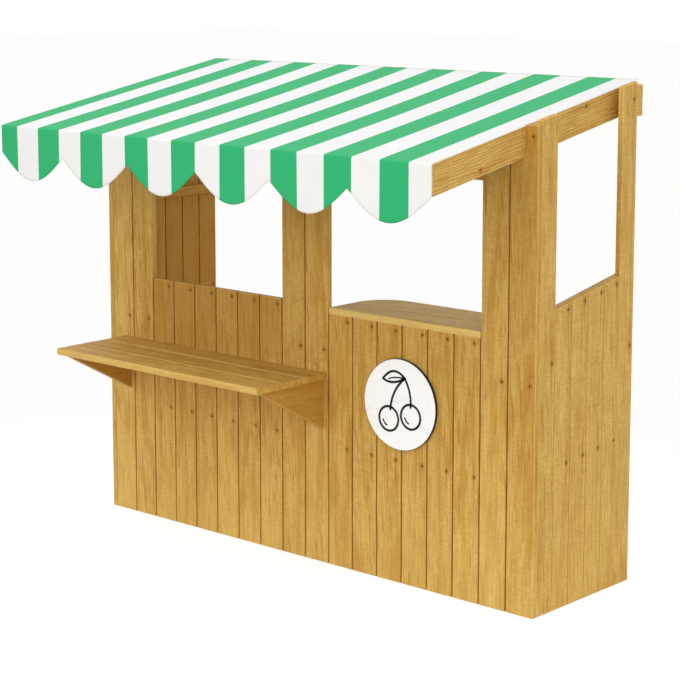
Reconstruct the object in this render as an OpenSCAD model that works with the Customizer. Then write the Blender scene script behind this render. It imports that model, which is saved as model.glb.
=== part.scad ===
// Wooden market stall with two serving hatches, a shelf, a counter and a striped lean-to awning.
// Millimetres. +X runs to the right along the front, +Y to the open back, +Z up from the ground.
// Sizes are laid out from the left end and the outer face of the front boards.
// The finished model is then centred on the ground under its outline.

/* [Front boards] */
// Width of one front board with its seam
board_pitch = 95; // [85:1:110]
// Thickness of every wall board
board_t = 18; // [15:1:24]
// Seam between neighbouring boards of the front and the left wall
board_gap = 4; // [2:0.5:6]
// Thickness of the thin lap that closes each of those seams inside the wall
lap_t = 6; // [4:1:8]
// Slit left between a lap and the next board
lap_clear = 0.5; // [0.3:0.1:1]
// Boards in each of the three piers
pier_boards = 2; // [2:1:3]
// Boards under each of the two hatches
bay_boards = 6; // [5:1:7]

/* [Body] */
// Depth of the stall from the front boards to the back ends of the side walls
stall_depth = 470; // [420:1:600]
// Height of the boards under the left hatch
hatch_h = 790; // [720:1:860]
// Height of the counter's top face
counter_h = 786; // [720:1:860]
// Width of the front posts and the middle post, seen from the front
post_w = 45; // [40:1:60]
// Depth of every post, seen from the side
post_d = 70; // [50:1:85]
// How far the two right posts stand above the rafters' top line
post_rise = 14; // [0:1:25]
// How far the right pier's outer board stands above that line
tongue_rise = 4; // [0:1:15]
// Boards in the left wall
left_wall_count = 6; // [5:1:7]
// Boards in the right wall, between its posts
right_wall_count = 4; // [3:1:5]
// Seam between the boards of the right wall
side_gap = 1; // [0.5:0.5:3]
// Height of the right wall's sloping sill, measured at the front boards
side_sill_h = 841; // [780:1:920]

/* [Rails] */
// Thickness of the rails behind the front and left boards
rail_t = 20; // [16:1:28]
// Height of those rails
rail_h = 45; // [35:1:60]
// Thickness of the rails behind the right wall's boards
side_rail_t = 12; // [10:1:20]
// Height of the bottom rails above the ground
bottom_rail_z = 40; // [20:1:80]
// Height of the left wall's middle rail above the ground
middle_rail_z = 1017; // [920:1:1080]
// Depth of the left wall's middle rail, top to bottom
middle_rail_h = 28; // [24:1:45]
// Distance from the top of the boards to the rail behind them
rail_drop = 5; // [2:1:20]

/* [Roof] */
// Height of the rafters' top line above the front boards' face
roof_h = 1366; // [1300:1:1450]
// Roof slope in degrees
roof_angle = 10.3; // [6:0.1:13]
// Rafter thickness
rafter_t = 45; // [35:1:50]
// Rafter depth, measured upright
rafter_d = 85; // [70:1:100]
// How far the rafters reach out in front of the boards
eave_front = 394; // [320:1:450]
// How far the awning reaches out behind the back rail
eave_back = 45; // [20:1:80]
// Depth of the header over the hatches
header_d = 79; // [60:1:100]
// Thickness of the header
header_t = 45; // [35:1:60]
// Thickness of the back rail
back_rail_t = 27; // [20:1:40]
// Depth of the back rail
back_rail_d = 85; // [70:1:100]
// Thickness of the batten that carries the awning's front fold
batten_t = 20; // [15:1:30]
// Depth of that batten
batten_d = 45; // [30:1:60]

/* [Awning] */
// Thickness of the awning cloth
cloth_t = 3; // [1:0.5:5]
// Scallops along the valance
scallop_count = 6; // [5:1:8]
// Drop of the valance at the points between scallops
cusp_drop = 87; // [60:1:110]
// Drop of the valance at the bottom of each scallop
scallop_drop = 167; // [130:1:180]
// Room left between the cloth and what stands under it without carrying it
cloth_clear = 2; // [0.5:0.5:5]

/* [Shelf] */
// Height of the shelf's top face
shelf_h = 587; // [500:1:680]
// Depth of the shelf
shelf_d = 295; // [240:1:340]
// Thickness of the shelf planks
shelf_t = 21; // [16:1:28]
// Planks in the shelf
shelf_planks = 3; // [2:1:4]
// Open seam between shelf planks
shelf_gap = 2; // [1:0.5:6]
// Distance from the stall's left end to the shelf
shelf_left = 56; // [20:1:80]
// Distance from the middle pier's right edge back to the shelf
shelf_right = 10; // [4:1:60]
// Thickness of the shelf brackets
bracket_t = 19; // [15:1:28]
// Distance from the shelf's ends to the brackets
bracket_inset = 7; // [2:1:30]
// Depth of the brackets under the shelf
bracket_d = 240; // [180:1:240]
// Height of the brackets against the boards
bracket_h = 152; // [110:1:180]

/* [Counter] */
// Thickness of the counter top
counter_t = 19; // [16:1:28]
// Depth of the counter top
counter_d = 240; // [200:1:290]
// Radius of the counter's free back corner
counter_r = 110; // [60:1:130]
// Room between the counter top and the piers and posts around it
counter_clear = 1; // [0.5:0.5:3]

/* [Sign] */
// Diameter of the round sign
sign_d = 268; // [220:1:300]
// Height of the sign's centre
sign_z = 536; // [480:1:560]
// Thickness of the sign's dark back plate
sign_back_t = 8; // [6:1:12]
// Thickness of the sign's white face
sign_face_t = 2; // [1:0.5:4]
// Width of the dark rim left showing round the white face
sign_rim = 1; // [0.5:0.5:6]

/* [Hidden] */
$fn = 96;

wood = "#c8963c";
rail_wood = "#b98a3a";

// Stations along the front, from the left end
pier_w = pier_boards * board_pitch;
bay_w = bay_boards * board_pitch;
hatch_x = pier_w;
middle_pier_x = hatch_x + bay_w;
counter_x = middle_pier_x + pier_w;
right_pier_x = counter_x + bay_w;
front_w = right_pier_x + pier_w;
right_post_x = front_w - post_w;
middle_post_x = middle_pier_x + (pier_w - post_w) / 2;

// Stations from front to back
lap_y0 = (board_t - lap_t) / 2;
lap_y1 = lap_y0 + lap_t;
post_y = board_t;
post_back_y = post_y + post_d;
rear_post_y = stall_depth - post_d;
eave_y = -eave_front;
awning_back_y = stall_depth + back_rail_t + eave_back;

// Sideways reach of the roof: the left rafter lies outside its wall, the right one inside its posts
left_end_x = -board_t - rafter_t;
awning_right_x = right_post_x;
awning_w = awning_right_x - left_end_x;

// Heights that follow the roof
roof_rise = tan(roof_angle);
header_low_z = rafter_low_z(board_t) - header_d;
sill_drop = roof_h - side_sill_h;
counter_low_z = counter_h - counter_t;

// Shelf stations
shelf_x0 = shelf_left;
shelf_x1 = counter_x - shelf_right;
shelf_low_z = shelf_h - shelf_t;
shelf_pitch = shelf_d / shelf_planks;

// Wall boards
left_wall_pitch = stall_depth / left_wall_count;
right_wall_pitch = (rear_post_y - post_back_y) / right_wall_count;
right_wall_x = front_w - board_t;
side_rail_x = right_wall_x - side_rail_t;

// Scallops: half waves between their points, each cut in short straight steps
scallop_sag = scallop_drop - cusp_drop;
scallop_steps = 16;
valance_steps = scallop_count * scallop_steps;

// Middle of the outline, which becomes the origin
mid_x = (left_end_x + front_w) / 2;
mid_y = (eave_y - cloth_t + awning_back_y) / 2;

// Underside of the awning and underside of the rafters at a distance behind the front face
function roof_z(y) = roof_h + roof_rise * y;
function rafter_low_z(y) = roof_z(y) - rafter_d;

// Drop of the valance's lower edge, counted in steps from its left end
function valance_drop(i) = cusp_drop + scallop_sag * abs(sin(180 * i / scallop_steps));

// Straight timber between two corners
module bar(x0, x1, y0, y1, z0, z1) {
  translate([x0 - mid_x, y0 - mid_y, z0])
    cube([x1 - x0, y1 - y0, z1 - z0]);
}

// Side outline in Y and Z, drawn out along X
module across(x0, x1, outline) {
  translate([x0 - mid_x, -mid_y, 0])
    rotate([90, 0, 90])
      linear_extrude(x1 - x0)
        polygon(outline);
}

// Front outline in X and Z, drawn out along Y
module facing(y0, y1) {
  translate([-mid_x, y1 - mid_y, 0])
    rotate([90, 0, 0])
      linear_extrude(y1 - y0)
        children();
}

// Plan outline in X and Y, drawn out upward
module lying(z0, z1) {
  translate([-mid_x, -mid_y, z0])
    linear_extrude(z1 - z0)
      children();
}

// Upright piece with a level foot and a top cut to the roof slope, drop below the awning
module slope_topped(x0, x1, y0, y1, z0, drop) {
  across(x0, x1, [[y0, z0], [y1, z0], [y1, roof_z(y1) - drop], [y0, roof_z(y0) - drop]]);
}

// Piece that runs along the roof slope between two depths below the awning
module along_slope(x0, x1, y0, y1, drop_top, drop_low) {
  across(x0, x1, [
    [y0, roof_z(y0) - drop_low],
    [y1, roof_z(y1) - drop_low],
    [y1, roof_z(y1) - drop_top],
    [y0, roof_z(y0) - drop_top]
  ]);
}

// Lap on the left edge of a pier board, across the seam at x
module pier_lap(x) {
  slope_topped(x - board_gap / 2 + lap_clear, x + board_gap / 2, lap_y0, lap_y1, 0, rafter_d);
}

// One front board that ends under the rafters
module pier_board(x) {
  slope_topped(x + board_gap / 2, x + board_pitch - board_gap / 2, 0, board_t, 0, rafter_d);
}

// Pier boards side by side, each lapped over the seam on its left except the first
module pier(x, count) {
  for (i = [0 : count - 1]) {
    pier_board(x + i * board_pitch);
    if (i > 0)
      pier_lap(x + i * board_pitch);
  }
}

// Row of front boards of one height, with laps over every seam up to the piers on both sides
module apron(x, height) {
  for (i = [0 : bay_boards - 1]) {
    x0 = x + i * board_pitch;
    bar(x0 + board_gap / 2, x0 + board_pitch - board_gap / 2, 0, board_t, 0, height);
    bar(x0 - board_gap / 2 + lap_clear, x0 + board_gap / 2, lap_y0, lap_y1, 0, height);
  }
  x1 = x + bay_w;
  bar(x1 - board_gap / 2, x1 + board_gap / 2 - lap_clear, lap_y0, lap_y1, 0, height);
}

// Outer right pier board, notched for the rafter, with a tongue that covers its post up to the roof
module notched_pier_board(x0, x1, tongue_x0) {
  slope_topped(x0, x1, 0, board_t, 0, rafter_d);
  slope_topped(tongue_x0, x1, 0, board_t, 0, -tongue_rise);
}

module left_pier_boards() color(wood) {
  pier(0, pier_boards);
}

module middle_pier_boards() color(wood) {
  pier(middle_pier_x, pier_boards);
}

module right_pier_boards() color(wood) {
  last_x = front_w - board_pitch;
  pier(right_pier_x, pier_boards - 1);
  pier_lap(last_x);
  notched_pier_board(last_x + board_gap / 2, front_w, right_post_x);
}

module hatch_apron_boards() color(wood) {
  apron(hatch_x, hatch_h);
}

module counter_apron_boards() color(wood) {
  apron(counter_x, counter_low_z);
}

// The left wall laps the end of the front boards and stands full height
module left_wall_boards() color(wood) {
  for (i = [0 : left_wall_count - 1]) {
    y0 = i * left_wall_pitch + (i > 0 ? board_gap / 2 : 0);
    y1 = (i + 1) * left_wall_pitch - (i < left_wall_count - 1 ? board_gap / 2 : 0);
    slope_topped(-board_t, 0, y0, y1, 0, cloth_clear);
    if (i > 0)
      slope_topped(-lap_y1, -lap_y0, y0 - board_gap + lap_clear, y0, 0, cloth_clear);
  }
}

// The right wall fills the space between its posts up to the sloping sill
module right_wall_boards() color(wood) {
  for (i = [0 : right_wall_count - 1]) {
    y0 = post_back_y + i * right_wall_pitch;
    slope_topped(right_wall_x, front_w, y0 + side_gap / 2, y0 + right_wall_pitch - side_gap / 2, 0, sill_drop);
  }
}

module front_left_post() color(wood) {
  slope_topped(0, post_w, post_y, post_back_y, 0, rafter_d);
}

module middle_post() color(wood) {
  bar(middle_post_x, middle_post_x + post_w, post_y, post_back_y, 0, header_low_z);
}

// The front post ends at the rafters' top line, and only its outer edge stands up past the awning
module front_right_post() color(wood) {
  slope_topped(right_post_x, front_w, post_y, post_back_y, 0, 0);
  slope_topped(right_wall_x, front_w, post_y, post_back_y, 0, -post_rise);
}

// The rear post is no thicker than the wall boards, and stands on the outer side of the wall's rails
module rear_right_post() color(wood) {
  slope_topped(right_wall_x, front_w, rear_post_y, stall_depth, 0, -post_rise);
}

// Level rail behind the front boards
module front_rail(x0, x1, z0) {
  bar(x0, x1, board_t, board_t + rail_t, z0, z0 + rail_h);
}

module hatch_top_rail() color(rail_wood) {
  front_rail(post_w, middle_post_x, hatch_h - rail_drop - rail_h);
}

module hatch_bottom_rail() color(rail_wood) {
  front_rail(post_w, middle_post_x, bottom_rail_z);
}

module counter_top_rail() color(rail_wood) {
  front_rail(middle_post_x + post_w, right_post_x, counter_low_z - rail_h);
}

module counter_bottom_rail() color(rail_wood) {
  front_rail(middle_post_x + post_w, right_post_x, bottom_rail_z);
}

module left_wall_middle_rail() color(rail_wood) {
  bar(0, rail_t, post_back_y, stall_depth, middle_rail_z, middle_rail_z + middle_rail_h);
}

module left_wall_bottom_rail() color(rail_wood) {
  bar(0, rail_t, post_back_y, stall_depth, bottom_rail_z, bottom_rail_z + rail_h);
}

module right_wall_sill_rail() color(rail_wood) {
  along_slope(side_rail_x, right_wall_x, post_back_y, stall_depth, sill_drop, sill_drop + rail_h);
}

module right_wall_bottom_rail() color(rail_wood) {
  bar(side_rail_x, right_wall_x, post_back_y, stall_depth, bottom_rail_z, bottom_rail_z + rail_h);
}

// The header stands on the middle post and carries the right rafter on its bevelled top
module front_header() color(wood) {
  slope_topped(post_w, right_post_x, board_t, board_t + header_t, header_low_z, rafter_d);
}

module back_top_rail() color(wood) {
  slope_topped(left_end_x, front_w, stall_depth, stall_depth + back_rail_t,
    roof_z(stall_depth) - back_rail_d, 0);
}

module rafter(x) {
  along_slope(x, x + rafter_t, eave_y, stall_depth, 0, rafter_d);
}

module left_rafter() color(wood) {
  rafter(left_end_x);
}

module right_rafter() color(wood) {
  rafter(awning_right_x - rafter_t);
}

module awning_front_batten() color(rail_wood) {
  along_slope(left_end_x + rafter_t, awning_right_x - rafter_t, eave_y, eave_y + batten_t, 0, batten_d);
}

module awning_canopy() color("mediumseagreen") {
  along_slope(left_end_x, awning_right_x, eave_y, awning_back_y, -cloth_t, 0);
}

// Valance outline: a straight fold over a row of scallops
module valance_outline() {
  fold_z = roof_z(eave_y) + cloth_t;
  fold_line = [[awning_right_x, fold_z], [left_end_x, fold_z]];
  lower_edge = [for (i = [0 : valance_steps])
    [left_end_x + awning_w * i / valance_steps, fold_z - valance_drop(i)]];
  polygon(concat(fold_line, lower_edge));
}

module awning_valance() color("seagreen") {
  facing(eave_y - cloth_t, eave_y)
    valance_outline();
}

// One shelf plank, counted from the front edge
module shelf_plank(i) {
  y0 = -shelf_d + i * shelf_pitch + (i > 0 ? shelf_gap / 2 : 0);
  y1 = -shelf_d + (i + 1) * shelf_pitch - (i < shelf_planks - 1 ? shelf_gap / 2 : 0);
  bar(shelf_x0, shelf_x1, y0, y1, shelf_low_z, shelf_h);
}

module shelf_front_plank() color(wood) {
  shelf_plank(0);
}

module shelf_inner_planks() color(wood) {
  for (i = [1 : shelf_planks - 1])
    shelf_plank(i);
}

// Solid three-cornered bracket under the shelf, against the boards
module shelf_bracket(x) {
  across(x, x + bracket_t, [[0, shelf_low_z - bracket_h], [0, shelf_low_z], [-bracket_d, shelf_low_z]]);
}

module shelf_left_bracket() color(wood) {
  shelf_bracket(shelf_x0 + bracket_inset);
}

module shelf_right_bracket() color(wood) {
  shelf_bracket(shelf_x1 - bracket_inset - bracket_t);
}

// Counter plan: between the piers in front, round the front right post, to the right wall's rails
module counter_outline() {
  x0 = counter_x + counter_clear;
  difference() {
    translate([x0, 0])
      square([side_rail_x - x0, counter_d]);
    translate([right_pier_x - counter_clear, 0])
      square([pier_w, board_t + counter_clear]);
    translate([right_post_x - counter_clear, 0])
      square([post_w, post_back_y + counter_clear]);
    difference() {
      translate([x0, counter_d - counter_r])
        square(counter_r);
      translate([x0 + counter_r, counter_d - counter_r])
        circle(counter_r);
    }
  }
}

module counter_top() color(wood) {
  lying(counter_low_z, counter_h)
    counter_outline();
}

// The cleat on the right wall's boards carries the counter's end, from the front post back.
// Under a higher counter it reaches the sill rail and is notched round it.
module counter_end_cleat() color(rail_wood) {
  difference() {
    bar(right_post_x, right_wall_x, post_back_y, counter_d, counter_low_z - rail_h, counter_low_z);
    along_slope(side_rail_x - counter_clear, right_wall_x, post_back_y, counter_d,
      sill_drop - counter_clear, sill_drop + rail_h + counter_clear);
  }
}

// Round sign on the boards under the counter
module sign_disc(d, y0, y1) {
  facing(y0, y1)
    translate([counter_x + bay_w / 2, sign_z])
      circle(d = d);
}

module sign_back_plate() color("#202020") {
  sign_disc(sign_d, -sign_back_t, 0);
}

module sign_face() color("white") {
  sign_disc(sign_d - 2 * sign_rim, -sign_back_t - sign_face_t, -sign_back_t);
}

left_pier_boards();
middle_pier_boards();
right_pier_boards();
hatch_apron_boards();
counter_apron_boards();
left_wall_boards();
right_wall_boards();
front_left_post();
middle_post();
front_right_post();
rear_right_post();
hatch_top_rail();
hatch_bottom_rail();
counter_top_rail();
counter_bottom_rail();
left_wall_middle_rail();
left_wall_bottom_rail();
right_wall_sill_rail();
right_wall_bottom_rail();
front_header();
back_top_rail();
left_rafter();
right_rafter();
awning_front_batten();
awning_canopy();
awning_valance();
shelf_front_plank();
shelf_inner_planks();
shelf_left_bracket();
shelf_right_bracket();
counter_top();
counter_end_cleat();
sign_back_plate();
sign_face();
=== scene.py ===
"""Looks of the wooden market stall: pine boards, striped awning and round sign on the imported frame."""
import math
import random

import bmesh
import bpy
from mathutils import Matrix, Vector


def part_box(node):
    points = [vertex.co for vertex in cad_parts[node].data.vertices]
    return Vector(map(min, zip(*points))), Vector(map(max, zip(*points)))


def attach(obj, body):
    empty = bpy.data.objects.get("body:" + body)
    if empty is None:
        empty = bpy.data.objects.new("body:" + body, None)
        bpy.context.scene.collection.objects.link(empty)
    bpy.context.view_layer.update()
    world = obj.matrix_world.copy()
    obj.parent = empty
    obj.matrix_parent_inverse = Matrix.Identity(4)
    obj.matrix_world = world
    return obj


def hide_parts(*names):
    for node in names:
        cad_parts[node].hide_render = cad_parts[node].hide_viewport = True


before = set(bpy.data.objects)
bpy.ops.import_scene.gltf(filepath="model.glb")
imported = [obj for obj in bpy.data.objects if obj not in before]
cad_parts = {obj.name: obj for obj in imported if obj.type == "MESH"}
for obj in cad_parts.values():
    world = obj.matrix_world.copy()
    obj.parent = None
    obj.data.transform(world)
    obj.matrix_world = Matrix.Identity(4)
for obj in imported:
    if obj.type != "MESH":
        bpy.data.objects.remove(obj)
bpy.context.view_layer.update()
BODY = "root"
RNG = random.Random(11)

# Timber shapes, in metres and radians
WELD = 1e-6
EASED_EDGE = 0.0016
EASED_STEPS = 2
SHELF_EASING = 0.0035
BRACKET_REACH = 0.038
SHARP_ANGLE = math.radians(30)
FLAT_ANGLE = math.radians(0.5)
FACE_SKIN = 0.003
SEAM_REACH = 0.006

# Least part of a face's normal along an axis for the face to look that way
FACING = 0.9

# Pale eased edges, partly wear of handled edges and partly a painted highlight: its share, the shortest pale
# run, and the widest eased face in easings
EDGE_WEAR_HIGHLIGHT = 0.45
SHELF_WEAR_HIGHLIGHT = 0.34
WEAR_HIGHLIGHT_RUN = 0.2
WEAR_HIGHLIGHT_WIDTH = 1.2

# What chance sets in each board: pith place and tilt, place along the log, tone and knots
PITH_SPREAD = 0.05
PITH_ASIDE = 0.06
PITH_DEPTH = (0.02, 0.07)
TILT_WIDE = 0.02
TILT_THIN = 0.03
LOG_RUN = 50
TONE_SPREAD = 0.9
KNOT_STRAY = 0.03

# Place of a knot that a board lacks
FAR_AWAY = 9.0

# Pine grain noise: repeats for each metre across and along a board, then detail and roughness
RAGGED_NOISE = ((260.0, 260.0, 260.0), 2.0, 0.5)
DRIFT_NOISE = ((14.0, 14.0, 5.0), 3.0, 0.55)
FIBRE_NOISE = ((220.0, 220.0, 8.0), 2.0, 0.6)
STRAND_NOISE = ((120.0, 120.0, 1.2), 1.0, 0.5)
RIPPLE_NOISE = ((60.0, 60.0, 150.0), 2.0, 0.6)
FLAME_NOISE = ((135.0, 135.0, 9.0), 1.0, 0.5)
CLOUD_NOISE = ((22.0, 22.0, 11.0), 3.0, 0.55)
BAND_NOISE = ((34.0, 34.0, 3.0), 2.0, 0.5)

# Lean of the flames against the grain, and the middle of any noise
FLAME_SLANT = 0.06
NOISE_MIDDLE = 0.5

# Pine colour: the limits of each noise, figure or tone, and the share of colour at them
BAND_SHARE = (0.46, 0.68, 0.0, 0.70)
CLOUD_SHARE = (0.46, 0.66, 0.0, 0.24)
FLAME_SHARE = (0.61, 0.68, 0.0, 0.62)
STRAND_SHARE = (0.0, 0.035, 0.22, 0.0)
FIBRE_SHARE = (0.32, 0.68, 0.46, 0.0)
RIPPLE_SHARE = (0.32, 0.65, 0.32, 0.0)
CALM_SHARE = (0.10, 0.22, 0.60, 1.0)
# A tone below zero deepens the pine and one above zero pales it; tones hold each board's random level and
# each piece's painted light and shade
DEEP_SHARE = (-6.0, 0.0, 0.75, 0.0)
PALE_SHARE = (0.0, 4.0, 0.0, 0.45)

# Growth rings, in metres, and a knot's ragged rim between two limits of noise
RING_PITCH = 0.0075
RING_DRIFT = (0.020, 0.020, 0.0)
RAGGED_RIM = (0.2, 0.8, -0.0026, 0.0026)

# Near a knot: two distances in metres, and the swelling of the rings or the share of colour at them
KNOT_SWELL = (0.0, 0.03, 0.006, 0.0)
KNOT_THREAD = (0.0, 0.007, 0.50, 0.0)
KNOT_HALO = (0.0026, 0.0125, 0.68, 0.0)
KNOT_CORE = (0.0018, 0.0043, 1.0, 0.0)

# Layers that hold a board's two knots, and the squeeze along the grain that makes a knot's thread
KNOT_NAMES = ("knot_a", "knot_b")
THREAD_SQUEEZE = (1.0, 0.05, 0.0)

# Pine surface: limits of the fibres with the roughness at them, and the weights of the relief
PINE_ROUGHNESS = (0.2, 0.8, 0.48, 0.60)
FIBRE_RELIEF = 0.5
RING_RELIEF = 0.4
RIPPLE_RELIEF = 0.4

# Awning: stripes, fold and hem, in metres
STRIPE_COUNT = 18
STRIPE_W = 0.0985
FOLD_RADIUS = 0.004
CLOTH_T = 0.0014
CLOTH_LIFT = 0.0002
SCALLOPS = 6
CUSP_DROP = 0.087
SAG = 0.005
SWAY = 0.0016
SWAY_PHASE = 0.15
HEM_W = 0.012

# Rows and columns of the awning's mesh, the hem's rows in hem widths from its edge, and a place far from it
COLUMNS_PER_SCALLOP = 32
CANOPY_ROWS = 48
FOLD_ROWS = 6
VALANCE_ROWS = 14
HEM_ROWS = (1.5, 1.0, 0.5, 0.0)
FAR_FROM_HEM = 1.0

# Canvas: threads and stitches in metres, tint, and the weights of the relief
THREAD_PITCH = 0.0011
STITCH_PITCH = 0.0045
STITCH_ROW = (0.0003, 0.0009, 1.0, 0.0)
STITCH_GAP = -0.35
STITCH_TINT = 0.12
CANVAS_NOISE = (5.0, 3.0, 0.5)
CANVAS_TINT = (0.3, 0.7, 0.97, 1.0)
WEAVE_TINT = 0.02
WEAVE_RELIEF = 0.35
HEM_STEP = 0.001
HEM_RELIEF = 0.6

# Sign discs, in metres: eased edges, how far forward of the CAD seam the discs meet, and the reach
# of the points that move with the seam, in easings
PLATE_EASING = 0.0008
FACE_EASING = 0.0004
SKIN_FORWARD = 0.001
SKIN_REACH = 1.1

# Sign face: noise scale, detail and roughness, then limits and shares
VEIN_WARP = (9.0, 4.0, 0.6)
VEIN_BEND = (0.16, 0.16, 0.16)
VEIN_NOISE = (6.0, 2.0, 0.5)
VEIN_SHARE = (0.0, 0.016, 1.0, 0.0)
PATCH_NOISE = (11.0, 1.0, 0.5)
PATCH_SHARE = (0.5, 0.65, 0.0, 0.6)
FACE_NOISE = (900.0, 2.0, 0.5)
FACE_ROUGHNESS = (0.3, 0.7, 0.36, 0.46)

# Dark paint: noise, the limits of its mottle and sheen, and the roughness of plate and ink
PAINT_NOISE = (420.0, 3.0, 0.55)
PAINT_MOTTLE = (0.35, 0.65)
PAINT_SHEEN = (0.3, 0.7)
SHEEN_SPREAD = 0.05
PLATE_ROUGHNESS = 0.4
INK_ROUGHNESS = 0.5

# Strokes of the sign's drawing, in metres, with the share that is sunk and the finer strokes' share
STROKE_W = 0.0072
STROKE_T = 0.0005
STROKE_SINK = 0.1
LEAF_VEIN_STROKE = 0.6
SHINE_STROKE = 0.7

# The drawing, in metres from the sign's middle, with the shine's arc in degrees
FRUIT_R = 0.036
LEFT_FRUIT = (-0.040, -0.046)
RIGHT_FRUIT = (0.042, -0.030)
STALK_ASIDE = 0.006
STALK_SINK = 0.008
JOINT = (0.020, 0.080)
LEFT_PULL = (-0.030, 0.040)
RIGHT_PULL = (0.046, 0.040)
LEAF_TIP = (-0.062, 0.070)
LEAF_PULLS = ((-0.022, 0.118), (-0.030, 0.052))
LEAF_VEIN_PULL = (-0.016, 0.082)
LEAF_VEIN_TIP = (-0.040, 0.072)
SHINE_SHARE = 0.60
SHINE_ARC = (195, 250)

# Camera, from the photograph's vanishing points and the front boards
PHOTO_PX = 680
CAMERA_FOCAL_PX = 1980.8
CAMERA_AT = (4.0075, -4.3585, 1.829)
CAMERA_AZIMUTH = 41.82
CAMERA_PITCH = 8.22
CAMERA_SHIFT = -0.15
SENSOR_MM = 36.0

# Colours, linear
PINE_LIGHT = (0.77, 0.53, 0.150)
PINE_DEEP = (0.395, 0.175, 0.016)
PINE_RED = (0.585, 0.305, 0.052)
PINE_HALO = (0.30, 0.122, 0.009)
PINE_KNOT = (0.105, 0.026, 0.001)
# Painted shade of the seams between boards
SEAM_PAINTED_SHADE = (0.80, 0.66, 0.46)
# Pale of eased edges: wear with a painted highlight
PINE_WORN_HIGHLIGHT = (0.805, 0.578, 0.193)
# Pale colour of tones above zero: painted light, and the random pale tone of some boards
PINE_PALE = (0.83, 0.612, 0.175)
GREEN = (0.017, 0.455, 0.160)
CANVAS_WHITE = (0.88, 0.88, 0.87)
SIGN_WHITE = (0.97, 0.97, 0.96)
SIGN_VEIN = (0.80, 0.80, 0.79)
INK = (0.012, 0.012, 0.013)
INK_MOTTLE = tuple(c * 1.9 for c in INK)
FLOOR_WHITE = (0.93, 0.92, 0.90)
FLOOR_PALE = (0.60, 0.57, 0.53)
WHITE = (1.0, 1.0, 1.0)

# Strength of the surrounding light at the horizon and overhead, and the height from which it is overhead
SKY_LOW = 1.26
SKY_HIGH = 0.80
SKY_TOP = 0.8

# Soft lamps: name, width in metres, power in watts and place
LAMPS = (("key", 2.5, 54.0, (-1.02, -2.82, 5.80)), ("fill", 4.0, 90.0, (5.0, -5.6, 2.4)))
LAMP_AIM = (0.0, 0.0, 0.6)

# Floor: its size and the reach of its whitest part in metres, then the glow that only the camera sees
FLOOR_SIZE = 60
FLOOR_NEAR = 0.9
FLOOR_FAR = 2.2
FLOOR_GLOW = 1.10
FLOOR_GLOW_SHARE = 0.80


class Graph:
    """Short way to write a node tree."""

    def __init__(self, tree):
        self.tree = tree
        tree.nodes.clear()

    def node(self, kind, inputs=None, **settings):
        made = self.tree.nodes.new(kind)
        for key, value in settings.items():
            setattr(made, key, value)
        for key, value in (inputs or {}).items():
            self.put(made.inputs[key], value)
        return made

    def put(self, socket, value):
        if isinstance(value, bpy.types.NodeSocket):
            self.tree.links.new(value, socket)
        elif isinstance(value, (tuple, list)) and len(value) == 3 and socket.type == "RGBA":
            socket.default_value = (*value, 1.0)
        else:
            socket.default_value = value

    def math(self, operation, a, b=0.0):
        made = self.node("ShaderNodeMath", operation=operation)
        self.put(made.inputs[0], a)
        self.put(made.inputs[1], b)
        return made.outputs[0]

    def wave(self, value, pitch):
        """Sine that repeats at a pitch."""
        return self.math("SINE", self.math("MULTIPLY", value, 2 * math.pi / pitch))

    def vector(self, operation, a, b=(0.0, 0.0, 0.0)):
        made = self.node("ShaderNodeVectorMath", operation=operation)
        self.put(made.inputs[0], a)
        self.put(made.inputs[1], b)
        return made.outputs["Value" if operation == "LENGTH" else "Vector"]

    def split(self, vector):
        return self.node("ShaderNodeSeparateXYZ", {"Vector": vector}).outputs

    def mix(self, factor, a, b, blend="MIX"):
        made = self.node("ShaderNodeMix", data_type="RGBA", blend_type=blend)
        self.put(made.inputs[0], factor)
        self.put(made.inputs[6], a)
        self.put(made.inputs[7], b)
        return made.outputs[2]

    def shade(self, colour, value):
        """Colour times a plain number."""
        grey = self.node("ShaderNodeCombineColor", {"Red": value, "Green": value, "Blue": value}).outputs[0]
        return self.mix(1.0, colour, grey, "MULTIPLY")

    def noise(self, vector, scale, detail, roughness, output="Fac"):
        made = self.node("ShaderNodeTexNoise", {"Vector": vector, "Scale": scale, "Detail": detail,
                                                "Roughness": roughness})
        return made.outputs[output]

    def stretched_noise(self, vector, scale, detail, roughness, output="Fac"):
        """Noise with its own scale along each axis."""
        return self.noise(self.vector("MULTIPLY", vector, scale), 1.0, detail, roughness, output)

    def ramp(self, value, low, high, out_low=0.0, out_high=1.0, smooth=True):
        made = self.node("ShaderNodeMapRange", interpolation_type="SMOOTHSTEP" if smooth else "LINEAR")
        for slot_name, number in (("Value", value), ("From Min", low), ("From Max", high),
                                  ("To Min", out_low), ("To Max", out_high)):
            self.put(made.inputs[slot_name], number)
        return made.outputs[0]

    def attribute(self, name, output="Vector"):
        return self.node("ShaderNodeAttribute", attribute_name=name).outputs[output]

    def place(self):
        """Place in the object's own frame, which is the shared one."""
        return self.node("ShaderNodeTexCoord").outputs["Object"]

    def bump(self, height, strength, distance):
        return self.node("ShaderNodeBump", {"Height": height, "Strength": strength,
                                            "Distance": distance}).outputs[0]

    def surface(self, **inputs):
        shader = self.node("ShaderNodeBsdfPrincipled")
        for key, value in inputs.items():
            self.put(shader.inputs[key.replace("_", " ")], value)
        self.node("ShaderNodeOutputMaterial", {0: shader.outputs[0]})


def new_material(name):
    material = bpy.data.materials.new(name)
    material.use_nodes = True
    return material, Graph(material.node_tree)


def knot_distances(g, grain):
    """Distance to the nearest pin knot, with a ragged rim, and to the thread of grain through it."""
    knots = [g.attribute(name) for name in KNOT_NAMES]
    threads = [g.vector("MULTIPLY", knot, THREAD_SQUEEZE) for knot in knots]
    near = g.math("MINIMUM", *[g.vector("LENGTH", knot) for knot in knots])
    thread = g.math("MINIMUM", *[g.vector("LENGTH", way) for way in threads])
    ragged = g.ramp(g.stretched_noise(grain, *RAGGED_NOISE), *RAGGED_RIM, False)
    return g.math("ADD", near, ragged), thread


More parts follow.
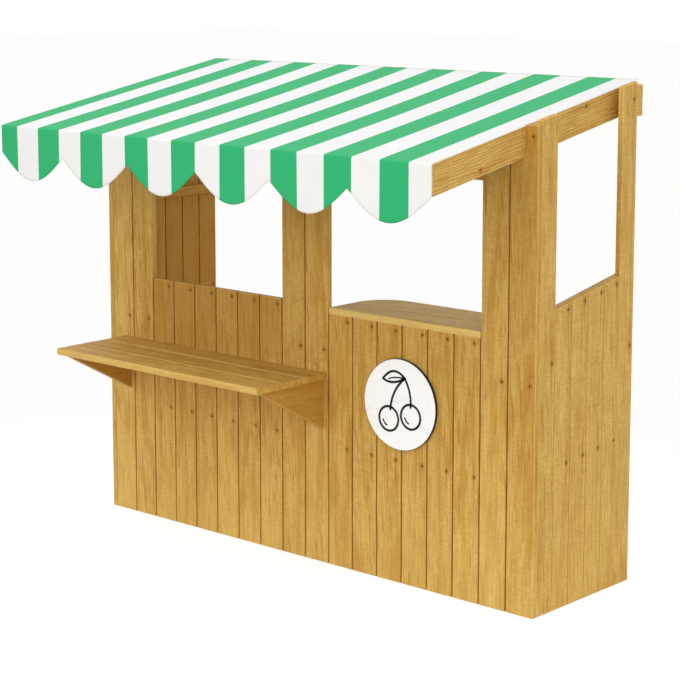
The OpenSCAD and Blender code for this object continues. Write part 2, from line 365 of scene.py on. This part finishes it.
def growth_rings(g, grain, near):
    """Dark late wood of growth rings, which wander along the board and swell round a knot."""
    drift = g.vector("SUBTRACT", g.stretched_noise(grain, *DRIFT_NOISE, "Color"), (NOISE_MIDDLE,) * 3)
    flat = g.vector("MULTIPLY", grain, (1.0, 1.0, 0.0))
    radius = g.vector("LENGTH", g.vector("ADD", flat, g.vector("MULTIPLY", drift, RING_DRIFT)))
    radius = g.math("ADD", radius, g.ramp(near, *KNOT_SWELL))
    return g.ramp(g.wave(radius, RING_PITCH), 0.0, 1.0)


def pine_material():
    """Satin golden pine: growth rings about a pith line, fine fibres, tone per board that also carries
    painted light and shade, and small pin knots.
    """
    material, g = new_material("golden_pine")
    grain = g.attribute("grain")
    tone = g.attribute("tone", "Fac")
    figure = g.attribute("figure", "Fac")
    near, thread = knot_distances(g, grain)
    late_wood = growth_rings(g, grain, near)

    # Fibres, dark strands, saw ripple across the grain, short flames, and slow clouds and bands of colour
    fibre = g.stretched_noise(grain, *FIBRE_NOISE)
    strand = g.math("SUBTRACT", g.stretched_noise(grain, *STRAND_NOISE), NOISE_MIDDLE)
    ripple = g.stretched_noise(grain, *RIPPLE_NOISE)
    slant = g.math("MULTIPLY", g.split(grain)[2], FLAME_SLANT)
    leaning = g.vector("ADD", grain, g.node("ShaderNodeCombineXYZ", {"X": slant}).outputs[0])
    flame = g.stretched_noise(leaning, *FLAME_NOISE)
    cloud = g.stretched_noise(grain, *CLOUD_NOISE)
    band = g.stretched_noise(grain, *BAND_NOISE)

    # Boards with little ring figure are calmer in colour too
    calm = g.ramp(figure, *CALM_SHARE, False)
    colour = g.mix(g.math("MULTIPLY", g.ramp(band, *BAND_SHARE), calm), PINE_LIGHT, PINE_RED)
    for share in (g.math("MULTIPLY", g.ramp(cloud, *CLOUD_SHARE), calm),
                  g.math("MULTIPLY", g.ramp(flame, *FLAME_SHARE), calm),
                  g.math("MULTIPLY", late_wood, figure),
                  g.ramp(g.math("ABSOLUTE", strand), *STRAND_SHARE),
                  g.ramp(fibre, *FIBRE_SHARE, False),
                  g.ramp(ripple, *RIPPLE_SHARE, False),
                  g.ramp(tone, *DEEP_SHARE, False)):
        colour = g.mix(share, colour, PINE_DEEP)
    # Tones below zero deepen the colour in the loop above and tones above zero pale it here: a board's
    # random level plus painted shade and painted light
    colour = g.mix(g.ramp(tone, *PALE_SHARE, False), colour, PINE_PALE)

    # A dark thread of grain runs through each pin knot
    colour = g.mix(g.ramp(thread, *KNOT_THREAD), colour, PINE_DEEP)
    colour = g.mix(g.ramp(near, *KNOT_HALO), colour, PINE_HALO)
    colour = g.mix(g.ramp(near, *KNOT_CORE), colour, PINE_KNOT)

    # Eased edges are paler, as wear together with a painted highlight, and the seams between boards get
    # painted shade
    colour = g.mix(g.attribute("worn_highlight", "Fac"), colour, PINE_WORN_HIGHLIGHT)
    below = g.math("LESS_THAN", g.split(g.place())[2], g.attribute("seam_top", "Fac"))
    seam = g.math("MULTIPLY", g.attribute("seam", "Fac"), below)
    colour = g.mix(seam, colour, g.mix(1.0, colour, SEAM_PAINTED_SHADE, "MULTIPLY"))

    relief = g.math("MULTIPLY", fibre, FIBRE_RELIEF)
    relief = g.math("ADD", relief, g.math("MULTIPLY", late_wood, RING_RELIEF))
    relief = g.math("ADD", relief, g.math("MULTIPLY", ripple, RIPPLE_RELIEF))
    g.surface(Base_Color=colour, Roughness=g.ramp(fibre, *PINE_ROUGHNESS, False),
              Specular_IOR_Level=0.18, Normal=g.bump(relief, strength=0.22, distance=0.0005))
    return material


def canvas_material():
    """Awning canvas: green and white stripes, plain weave, turned hem with stitches."""
    material, g = new_material("striped_canvas")
    cloth = g.attribute("cloth")
    across, along = g.split(cloth)[0:2]
    hem = g.attribute("hem", "Fac")

    # The end stripes are narrower, so stripes are counted from the middle of the sheet
    phase = g.math("ADD", g.math("DIVIDE", across, STRIPE_W), STRIPE_COUNT / 2)
    white = g.math("GREATER_THAN", g.math("MODULO", g.math("FLOOR", phase), 2.0), 0.5)
    weave = g.math("MULTIPLY", g.wave(across, THREAD_PITCH), g.wave(along, THREAD_PITCH))
    tint = g.ramp(g.noise(cloth, *CANVAS_NOISE), *CANVAS_TINT, False)
    tint = g.math("ADD", tint, g.math("MULTIPLY", weave, WEAVE_TINT))

    # Stitches sit in a row inside the hem
    row = g.ramp(g.math("ABSOLUTE", g.math("SUBTRACT", hem, HEM_W)), *STITCH_ROW)
    dash = g.math("GREATER_THAN", g.wave(across, STITCH_PITCH), STITCH_GAP)
    stitch = g.math("MULTIPLY", row, dash)
    tint = g.math("SUBTRACT", tint, g.math("MULTIPLY", stitch, STITCH_TINT))
    colour = g.shade(g.mix(white, GREEN, CANVAS_WHITE), tint)

    relief = g.math("ADD", g.math("MULTIPLY", weave, WEAVE_RELIEF), stitch)
    relief = g.math("ADD", relief, g.ramp(hem, HEM_W - HEM_STEP, HEM_W + HEM_STEP, HEM_RELIEF, 0.0))
    g.surface(Base_Color=colour, Roughness=0.62, Specular_IOR_Level=0.35,
              Normal=g.bump(relief, strength=0.35, distance=0.0006))
    return material


def sign_face_material():
    """Satin white board with faint grey veins."""
    material, g = new_material("sign_white")
    place = g.place()
    warp = g.noise(place, *VEIN_WARP, "Color")
    bent = g.vector("ADD", place, g.vector("MULTIPLY", warp, VEIN_BEND))
    vein = g.math("ABSOLUTE", g.math("SUBTRACT", g.noise(bent, *VEIN_NOISE), NOISE_MIDDLE))
    patch = g.ramp(g.noise(place, *PATCH_NOISE), *PATCH_SHARE)
    colour = g.mix(g.math("MULTIPLY", g.ramp(vein, *VEIN_SHARE), patch), SIGN_WHITE, SIGN_VEIN)
    fine = g.noise(place, *FACE_NOISE)
    g.surface(Base_Color=colour, Roughness=g.ramp(fine, *FACE_ROUGHNESS, False),
              Normal=g.bump(fine, strength=0.05, distance=0.0003))
    return material


def dark_material(name, roughness):
    """Near-black paint with a slightly uneven sheen."""
    material, g = new_material(name)
    fine = g.noise(g.place(), *PAINT_NOISE)
    colour = g.mix(g.ramp(fine, *PAINT_MOTTLE), INK, INK_MOTTLE)
    sheen = g.ramp(fine, *PAINT_SHEEN, roughness - SHEEN_SPREAD, roughness + SHEEN_SPREAD, False)
    g.surface(Base_Color=colour, Roughness=sheen, Specular_IOR_Level=0.2,
              Normal=g.bump(fine, strength=0.08, distance=0.0003))
    return material


def finish_piece(bm, name, material, nodes=()):
    """Puts a mesh into the scene as a piece, which may stand for CAD nodes."""
    mesh = bpy.data.meshes.new(name)
    bm.to_mesh(mesh)
    bm.free()
    mesh.materials.append(material)
    piece = bpy.data.objects.new(name, mesh)
    bpy.context.scene.collection.objects.link(piece)
    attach(piece, BODY)
    if nodes:
        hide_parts(*nodes)
    return piece


def islands(bm):
    """Vertex lists of the separate solids in a mesh."""
    seen = set()
    groups = []
    for start in bm.verts:
        if start in seen:
            continue
        group, open_verts = [], [start]
        seen.add(start)
        while open_verts:
            vert = open_verts.pop()
            group.append(vert)
            for edge in vert.link_edges:
                other = edge.other_vert(vert)
                if other not in seen:
                    seen.add(other)
                    open_verts.append(other)
        groups.append(group)
    return groups


def welded_copy(node):
    """Copy of a CAD node's mesh with its double points joined."""
    bm = bmesh.new()
    bm.from_mesh(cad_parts[node].data)
    bmesh.ops.remove_doubles(bm, verts=bm.verts, dist=WELD)
    return bm


def eased_copy(node, width=EASED_EDGE, tip_reach=0.0):
    """Copy of a CAD node with whole flat faces and softly eased edges, its front tip drawn out."""
    bm = welded_copy(node)
    bmesh.ops.dissolve_limit(bm, angle_limit=FLAT_ANGLE, verts=bm.verts, edges=bm.edges)
    front = min(v.co.y for v in bm.verts)
    for v in bm.verts:
        if v.co.y < front + FACE_SKIN:
            v.co.y -= tip_reach
    sharp = [e for e in bm.edges if len(e.link_faces) == 2 and e.calc_face_angle() > SHARP_ANGLE]
    bmesh.ops.bevel(bm, geom=sharp, offset=width, segments=EASED_STEPS, affect="EDGES", profile=0.5,
                    clamp_overlap=True)
    return bm


# Axes of a piece: the way the grain runs, then the wide way and the thin way across it
UPRIGHT_FRONT = (2, 0, 1)
UPRIGHT_SIDE = (2, 1, 0)
LEVEL_FLAT = (0, 1, 2)
LEVEL_EDGE = (0, 2, 1)
DEEP_EDGE = (1, 2, 0)

# Knot places: share of a board's width, then the place along it, as a share of its length in
# BOARD_KNOTS and in metres in the others
BOARD_KNOTS = ((0.80, 0.977), (0.80, 0.478))
PIER_KNOTS = ((0.80, 1.340), (0.80, 0.656))
FRONT_POST_KNOTS = ((0.80, 0.710),)
REAR_POST_KNOTS = ((0.80, 1.415), (0.80, 0.705))
RAFTER_KNOTS = ((0.22, -0.268), (0.84, 0.210))

# Painted light and shade of the front boards, as a tone at the foot and at the top: pale above zero, deep
# below it. The feet are painted lighter and the tops, in the shade of the awning, painted darker
FRONT_PAINTED_SHADING = {"left_pier_boards": (1.0, -1.4), "middle_pier_boards": (1.4, -3.5),
               "right_pier_boards": (1.6, -3.0), "hatch_apron_boards": (3.0, -4.3),
               "counter_apron_boards": (1.4, -2.1)}

# Painted shade on the shelf's brackets, as a deep tone
BRACKET_PAINTED_SHADE = {"shelf_left_bracket": -6.5, "shelf_right_bracket": -4.8}


def span_of(group, axes):
    """Lowest and highest corner of a board's main body, without the thin lap in its seam."""
    thin = axes[2]
    low = Vector([min(v.co[i] for v in group) for i in range(3)])
    high = Vector([max(v.co[i] for v in group) for i in range(3)])
    skin = [v for v in group if v.co[thin] < low[thin] + FACE_SKIN]
    low[axes[1]] = min(v.co[axes[1]] for v in skin)
    high[axes[1]] = max(v.co[axes[1]] for v in skin)
    return low, high


def board_spans(nodes, axes):
    """Spans of all boards in some nodes, to find which edges face a seam."""
    spans = []
    for node in nodes:
        bm = welded_copy(node)
        spans += [span_of(group, axes) for group in islands(bm)]
        bm.free()
    return spans


def seam_heights(low, high, axes, spans):
    """How high a seam runs up a board's two edges, nothing where no neighbour stands."""
    along, wide = axes[:2]
    tops = [0.0, 0.0]
    for other_low, other_high in spans:
        if abs(other_high[wide] - low[wide]) < SEAM_REACH:
            tops[0] = min(high[along], other_high[along])
        if abs(other_low[wide] - high[wide]) < SEAM_REACH:
            tops[1] = min(high[along], other_high[along])
    return tops


def wood_attributes(bm, axes, knots, lean, figure, painted_shading, inner_painted_shade, spans, easing, wear_highlight):
    """Grain coordinates, tone with painted light and shade, knot places, pale edges of wear with a painted
    highlight, and painted shade in the seams, for every board in a mesh.
    """
    along, wide, thin = axes
    grain = bm.verts.layers.float_vector.new("grain")
    tone = bm.loops.layers.float.new("tone")
    ring_share = bm.verts.layers.float.new("figure")
    knot_layers = [bm.verts.layers.float_vector.new(name) for name in KNOT_NAMES]
    seam = bm.faces.layers.float.new("seam")
    seam_top = bm.faces.layers.float.new("seam_top")
    worn_highlight = bm.faces.layers.float.new("worn_highlight")
    for group in islands(bm):
        low, high = span_of(group, axes)
        middle = (low + high) / 2
        span = high - low
        pith_wide = RNG.uniform(-PITH_SPREAD, PITH_SPREAD)
        pith_wide += math.copysign(PITH_ASIDE, pith_wide)
        pith_thin = RNG.choice((-1, 1)) * RNG.uniform(*PITH_DEPTH)
        tilt_wide = RNG.uniform(-TILT_WIDE, TILT_WIDE)
        tilt_thin = RNG.uniform(-TILT_THIN, TILT_THIN)
        start = RNG.uniform(0, LOG_RUN)
        level = RNG.uniform(-TONE_SPREAD, TONE_SPREAD)
        lean_w = span[wide] - abs(lean) * span[along]
        places = []
        for share, spot in knots:
            along_at = (spot - 0.5) * span[along] if knots is BOARD_KNOTS else spot - middle[along]
            places.append(((share + RNG.uniform(-KNOT_STRAY, KNOT_STRAY) - 0.5) * lean_w, along_at))

        # Grain and knots, for each point
        for v in group:
            place = v.co - middle
            run = place[along]
            across = place[wide] - lean * run
            v[grain] = Vector((across - pith_wide + tilt_wide * run,
                               place[thin] - pith_thin + tilt_thin * run, run + start))
            v[ring_share] = figure
            for k, layer in enumerate(knot_layers):
                v[layer] = Vector((FAR_AWAY, FAR_AWAY, 0))
                if k < len(places):
                    v[layer] = Vector((across - places[k][0], run - places[k][1], 0))

        # Tone with painted light and shade, painted shade in the seams, and edge wear with a painted
        # highlight, for each face
        tops = seam_heights(low, high, axes, spans)
        for face in {f for v in group for f in v.link_faces}:
            # A face's tone is the board's random level, deep painted shade on inner faces, and painted light
            # and shade that run from the foot to the top
            side_tone = level + (inner_painted_shade if face.normal[thin] > FACING else 0.0)
            for loop in face.loops:
                rise = (loop.vert.co[along] - low[along]) / span[along]
                loop[tone] = side_tone + painted_shading[0] + (painted_shading[1] - painted_shading[0]) * rise
            centre = face.calc_center_median()[wide]
            left = 1 - (centre - low[wide]) / EASED_EDGE
            right = 1 - (high[wide] - centre) / EASED_EDGE
            face[seam] = min(max(left, right, 0.0), 1.0)
            face[seam_top] = tops[0] if left > right else tops[1]
            # Eased faces, and the narrow sides of flat planks such as the shelf's front edge, are paled as
            # wear with a painted highlight
            lengths = [e.calc_length() for e in face.edges]
            eased = min(lengths) < easing * WEAR_HIGHLIGHT_WIDTH and (axes != LEVEL_FLAT or max(lengths) > WEAR_HIGHLIGHT_RUN)
            narrow_side = axes == LEVEL_FLAT and abs(face.normal[wide]) > FACING
            if face[seam] == 0 or face[seam_top] == 0:
                face[worn_highlight] = wear_highlight if eased or narrow_side else 0.0


def dress_wood(node, axes, pine, knots=(), lean=0.0, figure=0.22, painted_shading=(0.0, 0.0), inner_painted_shade=0.0, spans=(),
               easing=EASED_EDGE, wear_highlight=EDGE_WEAR_HIGHLIGHT, tip_reach=0.0):
    """Replaces one CAD timber node with its eased, grained copy, with a tone of painted light and shade at
    each end of its grain.
    """
    bm = eased_copy(node, easing, tip_reach)
    wood_attributes(bm, axes, knots, lean, figure, painted_shading, inner_painted_shade, spans, easing, wear_highlight)
    finish_piece(bm, node + "_pine", pine, [node])


def build_wood():
    """All timber nodes. The order of the calls sets what chance gives each board."""
    pine = pine_material()
    piers = ("left_pier_boards", "middle_pier_boards", "right_pier_boards")
    aprons = ("hatch_apron_boards", "counter_apron_boards")
    front_spans = board_spans(piers + aprons, UPRIGHT_FRONT)
    # Front boards: painted light at the foot and painted shade at the top
    for node in piers:
        dress_wood(node, UPRIGHT_FRONT, pine, PIER_KNOTS, painted_shading=FRONT_PAINTED_SHADING[node], spans=front_spans)
    for node in aprons:
        dress_wood(node, UPRIGHT_FRONT, pine, BOARD_KNOTS, painted_shading=FRONT_PAINTED_SHADING[node], spans=front_spans)
    # Left wall: painted light at the foot, painted shade at the top, and deep painted shade over its inner
    # face
    dress_wood("left_wall_boards", UPRIGHT_SIDE, pine, BOARD_KNOTS, painted_shading=(0.6, -1.0), inner_painted_shade=-5.0,
               spans=board_spans(["left_wall_boards"], UPRIGHT_SIDE))
    # Right wall: painted light, strongest at the foot
    dress_wood("right_wall_boards", UPRIGHT_SIDE, pine, BOARD_KNOTS, figure=0.10, painted_shading=(1.2, 0.5),
               spans=board_spans(["right_wall_boards", "front_right_post", "rear_right_post"], UPRIGHT_SIDE))
    # Right posts: painted light
    dress_wood("front_right_post", UPRIGHT_SIDE, pine, FRONT_POST_KNOTS, figure=0.15, painted_shading=(0.7, 0.7))
    dress_wood("rear_right_post", UPRIGHT_SIDE, pine, REAR_POST_KNOTS, figure=0.12, painted_shading=(0.9, 0.9))
    for node in ("front_left_post", "middle_post"):
        dress_wood(node, UPRIGHT_SIDE, pine)
    for node in ("hatch_top_rail", "hatch_bottom_rail", "counter_top_rail", "counter_bottom_rail",
                 "front_header", "back_top_rail", "awning_front_batten"):
        dress_wood(node, LEVEL_EDGE, pine)
    # Shelf planks: painted shade over the whole shelf under the awning
    for node in ("shelf_front_plank", "shelf_inner_planks"):
        dress_wood(node, LEVEL_FLAT, pine, figure=0.30, painted_shading=(-1.4, -1.4), easing=SHELF_EASING,
                   wear_highlight=SHELF_WEAR_HIGHLIGHT)
    # Counter top: painted light
    dress_wood("counter_top", LEVEL_FLAT, pine, painted_shading=(0.8, 0.8))
    # Middle rail of the left wall: deep painted shade
    dress_wood("left_wall_middle_rail", DEEP_EDGE, pine, painted_shading=(-4.6, -4.6))
    for node in ("left_wall_bottom_rail", "right_wall_bottom_rail", "counter_end_cleat"):
        dress_wood(node, DEEP_EDGE, pine)
    # Brackets: painted shade as a deep tone
    for node, bracket_shade in BRACKET_PAINTED_SHADE.items():
        dress_wood(node, DEEP_EDGE, pine, figure=0.20, painted_shading=(bracket_shade, bracket_shade), tip_reach=BRACKET_REACH)
    roof_lean = roof_slope()
    dress_wood("right_wall_sill_rail", DEEP_EDGE, pine, lean=roof_lean, figure=0.50)
    for node in ("left_rafter", "right_rafter"):
        dress_wood(node, DEEP_EDGE, pine, RAFTER_KNOTS, roof_lean, figure=0.55)


def roof_slope():
    """Rise of the roof for each metre from front to back."""
    low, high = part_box("awning_canopy")
    front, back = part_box("awning_valance")
    cloth_t = back.y - front.y
    return (high.z - low.z - cloth_t) / (high.y - low.y)


class AwningForm:
    """Form of the awning's cloth, from the CAD canopy and valance.

    Each row gives a point, the length of cloth from the fold to it, and its height over the hem's edge.
    """

    def __init__(self):
        low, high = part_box("awning_canopy")
        valance_low, valance_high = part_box("awning_valance")
        self.left, self.width = low.x, high.x - low.x
        self.front_y, self.fold_z, self.depth = low.y, low.z, high.y - low.y
        self.valance_top, self.valance_foot = valance_high.z, valance_low.z
        self.slope = roof_slope()
        self.slant = math.hypot(1.0, self.slope)
        self.normal = Vector((0, -self.slope, 1)).normalized()
        self.forward = Vector((0, -1, -self.slope)).normalized()
        self.turn = math.pi / 2 - math.atan(self.slope)
        self.lift = CLOTH_T / 2 + CLOTH_LIFT
        self.length = self.depth * self.slant + self.valance_top - self.valance_foot

    def canopy_rows(self, x, t):
        """From the back edge to the fold, with a sag in the middle."""
        for j in range(CANOPY_ROWS + 1):
            back = 1 - j / CANOPY_ROWS
            from_fold = self.depth * back
            hang = SAG * math.sin(math.pi * t) * math.sin(math.pi * back)
            point = Vector((x, self.front_y + from_fold, self.fold_z + self.slope * from_fold - hang))
            yield point + self.normal * self.lift, from_fold * self.slant, FAR_FROM_HEM

    def fold_rows(self, x):
        """Round the front fold."""
        centre = Vector((x, self.front_y, self.fold_z)) + self.normal * (self.lift - FOLD_RADIUS)
        for j in range(1, FOLD_ROWS + 1):
            angle = self.turn * j / FOLD_ROWS
            out = self.normal * math.cos(angle) + self.forward * math.sin(angle)
            yield centre + out * FOLD_RADIUS, -FOLD_RADIUS * angle, FAR_FROM_HEM

    def valance_rows(self, top, t):
        """From the fold down to the scalloped edge, with closer rows in the hem and a slight sway."""
        scallop = self.valance_top - self.valance_foot - CUSP_DROP
        edge_z = self.valance_top - CUSP_DROP - scallop * abs(math.sin(math.pi * SCALLOPS * t))
        hem_z = [edge_z + HEM_W * row for row in HEM_ROWS]
        stops = [top.z + (hem_z[0] - top.z) * j / VALANCE_ROWS for j in range(1, VALANCE_ROWS + 1)]
        for z in stops + hem_z[1:]:
            fall = (top.z - z) / (top.z - self.valance_foot)
            sway = SWAY * fall * math.sin(2 * math.pi * (SCALLOPS / 2 * t + SWAY_PHASE))
            yield Vector((top.x, top.y + sway, z)), z - top.z - FOLD_RADIUS * self.turn, z - edge_z


def thicken(piece, thickness):
    """Gives a sheet its thickness, half on each side."""
    solidify = piece.modifiers.new("thickness", "SOLIDIFY")
    solidify.thickness = thickness
    solidify.offset = 0.0
    bpy.context.view_layer.update()
    solid = bpy.data.meshes.new_from_object(piece.evaluated_get(bpy.context.evaluated_depsgraph_get()))
    piece.modifiers.clear()
    piece.data = solid


def build_awning():
    """One sheet of canvas from the back edge over the front fold to the scalloped edge."""
    form = AwningForm()
    columns = SCALLOPS * COLUMNS_PER_SCALLOP
    bm = bmesh.new()
    cloth = bm.verts.layers.float_vector.new("cloth")
    hem = bm.verts.layers.float.new("hem")
    grid = []
    for i in range(columns + 1):
        t = i / columns
        x = form.left + form.width * t
        rows = [*form.canopy_rows(x, t), *form.fold_rows(x)]
        rows += form.valance_rows(rows[-1][0], t)
        line = []
        for point, length, from_edge in rows:
            v = bm.verts.new(point)
            v[cloth] = Vector((x - (form.left + form.width / 2), length, 0))
            v[hem] = from_edge
            line.append(v)
        grid.append(line)
    for a, b in zip(grid, grid[1:]):
        for j in range(len(a) - 1):
            bm.faces.new((a[j], a[j + 1], b[j + 1], b[j])).smooth = True
    bmesh.ops.recalc_face_normals(bm, faces=bm.faces)
    area = sum(f.calc_area() for f in bm.faces)
    piece = finish_piece(bm, "awning_cloth", canvas_material(), ["awning_canopy", "awning_valance"])
    thicken(piece, CLOTH_T)


def arc(centre, radius, first, last, steps=64):
    """Points along part of a circle, angles in degrees."""
    points = []
    for k in range(steps + 1):
        angle = math.radians(first + (last - first) * k / steps)
        points.append((centre[0] + radius * math.cos(angle), centre[1] + radius * math.sin(angle)))
    return points


def bend(start, pull, end, steps=24):
    """Points along a curve from start to end, drawn towards pull."""
    points = []
    for k in range(steps + 1):
        t = k / steps
        shares = ((1 - t) ** 2, 2 * t * (1 - t), t * t)
        points.append(tuple(sum(s * c for s, c in zip(shares, way)) for way in zip(start, pull, end)))
    return points


def round_end(place, way, half, steps=8):
    """Half circle that closes a stroke, facing the way it ends."""
    base = math.atan2(way.y, way.x)
    angles = [base + math.pi * (k / steps - 0.5) for k in range(steps + 1)]
    return [place + Vector((math.cos(a), math.sin(a))) * half for a in angles]


def add_stroke(bm, points, origin, width=STROKE_W):
    """Raised painted line along points in the sign's plane, with round ends."""
    half = width / 2
    closed = math.dist(points[0], points[-1]) < WELD
    if closed:
        points = points[:-1]
    count = len(points)
    sides = []
    for k, (x, z) in enumerate(points):
        ahead = points[(k + 1) % count] if closed or k < count - 1 else points[k]
        behind = points[k - 1] if closed or k > 0 else points[k]
        way = Vector((ahead[0] - behind[0], ahead[1] - behind[1])).normalized()
        sides.append((Vector((x, z)), way))
    patches = []
    for (a, way_a), (b, way_b) in zip(sides, sides[1:] + (sides[:1] if closed else [])):
        off_a, off_b = Vector((-way_a.y, way_a.x)) * half, Vector((-way_b.y, way_b.x)) * half
        patches.append([a + off_a, a - off_a, b - off_b, b + off_b])
    if not closed:
        (first, first_way), (last, last_way) = sides[0], sides[-1]
        patches += [round_end(first, -first_way, half), round_end(last, last_way, half)]
    for corners in patches:
        flat = [bm.verts.new(origin + Vector((c.x, 0, c.y))) for c in corners]
        raised = bmesh.ops.extrude_face_region(bm, geom=[bm.faces.new(flat)])
        bmesh.ops.translate(bm, verts=[e for e in raised["geom"] if isinstance(e, bmesh.types.BMVert)],
                            vec=(0, -STROKE_T, 0))


def build_motif(low, high):
    """Line drawing on the sign's face: a pair of cherries on one stalk with a leaf."""
    origin = Vector(((low.x + high.x) / 2, low.y + STROKE_T * STROKE_SINK, (low.z + high.z) / 2))
    stalk_z = FRUIT_R - STALK_SINK
    left_foot = (LEFT_FRUIT[0] + STALK_ASIDE, LEFT_FRUIT[1] + stalk_z)
    right_foot = (RIGHT_FRUIT[0], RIGHT_FRUIT[1] + stalk_z)
    bm = bmesh.new()
    for fruit in (LEFT_FRUIT, RIGHT_FRUIT):
        add_stroke(bm, arc(fruit, FRUIT_R, 0, 360), origin)
    for foot, pull in ((left_foot, LEFT_PULL), (right_foot, RIGHT_PULL)):
        add_stroke(bm, bend(foot, pull, JOINT), origin)
    for pull in LEAF_PULLS:
        add_stroke(bm, bend(JOINT, pull, LEAF_TIP), origin)
    add_stroke(bm, bend(JOINT, LEAF_VEIN_PULL, LEAF_VEIN_TIP), origin, STROKE_W * LEAF_VEIN_STROKE)
    for fruit in (LEFT_FRUIT, RIGHT_FRUIT):
        add_stroke(bm, arc(fruit, FRUIT_R * SHINE_SHARE, *SHINE_ARC, 16), origin, STROKE_W * SHINE_STROKE)
    bmesh.ops.recalc_face_normals(bm, faces=bm.faces)
    finish_piece(bm, "sign_motif", dark_material("sign_ink", INK_ROUGHNESS))


def build_sign():
    """Round sign: a dark plate, a thin white face and a raised drawing."""
    plate_paint = dark_material("sign_edge_black", PLATE_ROUGHNESS)
    low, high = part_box("sign_face")
    for node, material, slot, easing in (("sign_back_plate", plate_paint, "sign_edge", PLATE_EASING),
                                         ("sign_face", sign_face_material(), "sign_face", FACE_EASING)):
        bm = eased_copy(node, easing)
        # The discs meet further forward, so that the white face is a thin skin on a dark plate
        for v in bm.verts:
            if abs(v.co.y - high.y) < easing * SKIN_REACH:
                v.co.y -= SKIN_FORWARD
        finish_piece(bm, node + "_disc", material, [node])
    build_motif(low, high)


def build_floor():
    """White floor that keeps the stall's soft shadow."""
    bpy.ops.mesh.primitive_plane_add(size=FLOOR_SIZE, location=(0, 0, 0))
    floor = bpy.context.object
    floor.name = "floor"
    material, g = new_material("white_floor")
    reach = g.ramp(g.vector("LENGTH", g.place()), FLOOR_NEAR, FLOOR_FAR)
    diffuse = g.node("ShaderNodeBsdfDiffuse", {"Color": g.mix(reach, FLOOR_WHITE, FLOOR_PALE)})
    glow = g.node("ShaderNodeEmission", {"Color": WHITE, "Strength": FLOOR_GLOW})
    share = g.math("MULTIPLY", g.node("ShaderNodeLightPath").outputs["Is Camera Ray"], FLOOR_GLOW_SHARE)
    blend = g.node("ShaderNodeMixShader", {0: share, 1: diffuse.outputs[0], 2: glow.outputs[0]})
    g.node("ShaderNodeOutputMaterial", {0: blend.outputs[0]})
    floor.data.materials.append(material)


def build_world():
    """White surroundings to look at, and a soft light that is stronger near the horizon."""
    world = bpy.data.worlds.new("studio")
    world.use_nodes = True
    bpy.context.scene.world = world
    g = Graph(world.node_tree)
    path = g.node("ShaderNodeLightPath").outputs
    seen = g.math("MAXIMUM", path["Is Camera Ray"], path["Is Glossy Ray"])
    seen = g.math("MAXIMUM", seen, path["Is Transmission Ray"])
    height = g.split(g.node("ShaderNodeTexCoord").outputs["Generated"])[2]
    strength = g.ramp(height, 0.0, SKY_TOP, SKY_LOW, SKY_HIGH, False)
    light = g.node("ShaderNodeBackground", {"Color": WHITE, "Strength": strength})
    white = g.node("ShaderNodeBackground", {"Color": WHITE, "Strength": 1.0})
    blend = g.node("ShaderNodeMixShader", {0: seen, 1: light.outputs[0], 2: white.outputs[0]})
    g.node("ShaderNodeOutputWorld", {0: blend.outputs[0]})


def build_lamps():
    """Broad soft lamps, all aimed at the stall."""
    for name, size, watts, place in LAMPS:
        lamp = bpy.data.lights.new(name, "AREA")
        lamp.shape = "DISK"
        lamp.size = size
        lamp.energy = watts
        holder = bpy.data.objects.new(name, lamp)
        holder.location = place
        holder.rotation_euler = (Vector(LAMP_AIM) - holder.location).to_track_quat("-Z", "Y").to_euler()
        bpy.context.scene.collection.objects.link(holder)


def build_camera():
    """Camera at the photograph's viewing angle."""
    camera = bpy.data.cameras.new("camera")
    camera.sensor_width = SENSOR_MM
    camera.lens = SENSOR_MM * CAMERA_FOCAL_PX / PHOTO_PX
    camera.shift_y = CAMERA_SHIFT
    holder = bpy.data.objects.new("camera", camera)
    holder.location = CAMERA_AT
    holder.rotation_euler = (math.radians(90 - CAMERA_PITCH), 0, math.radians(CAMERA_AZIMUTH))
    bpy.context.scene.collection.objects.link(holder)
    bpy.context.scene.camera = holder


build_wood()
build_awning()
build_sign()
bpy.context.scene.view_settings.view_transform = "Standard"
build_floor()
build_world()
build_lamps()
build_camera()
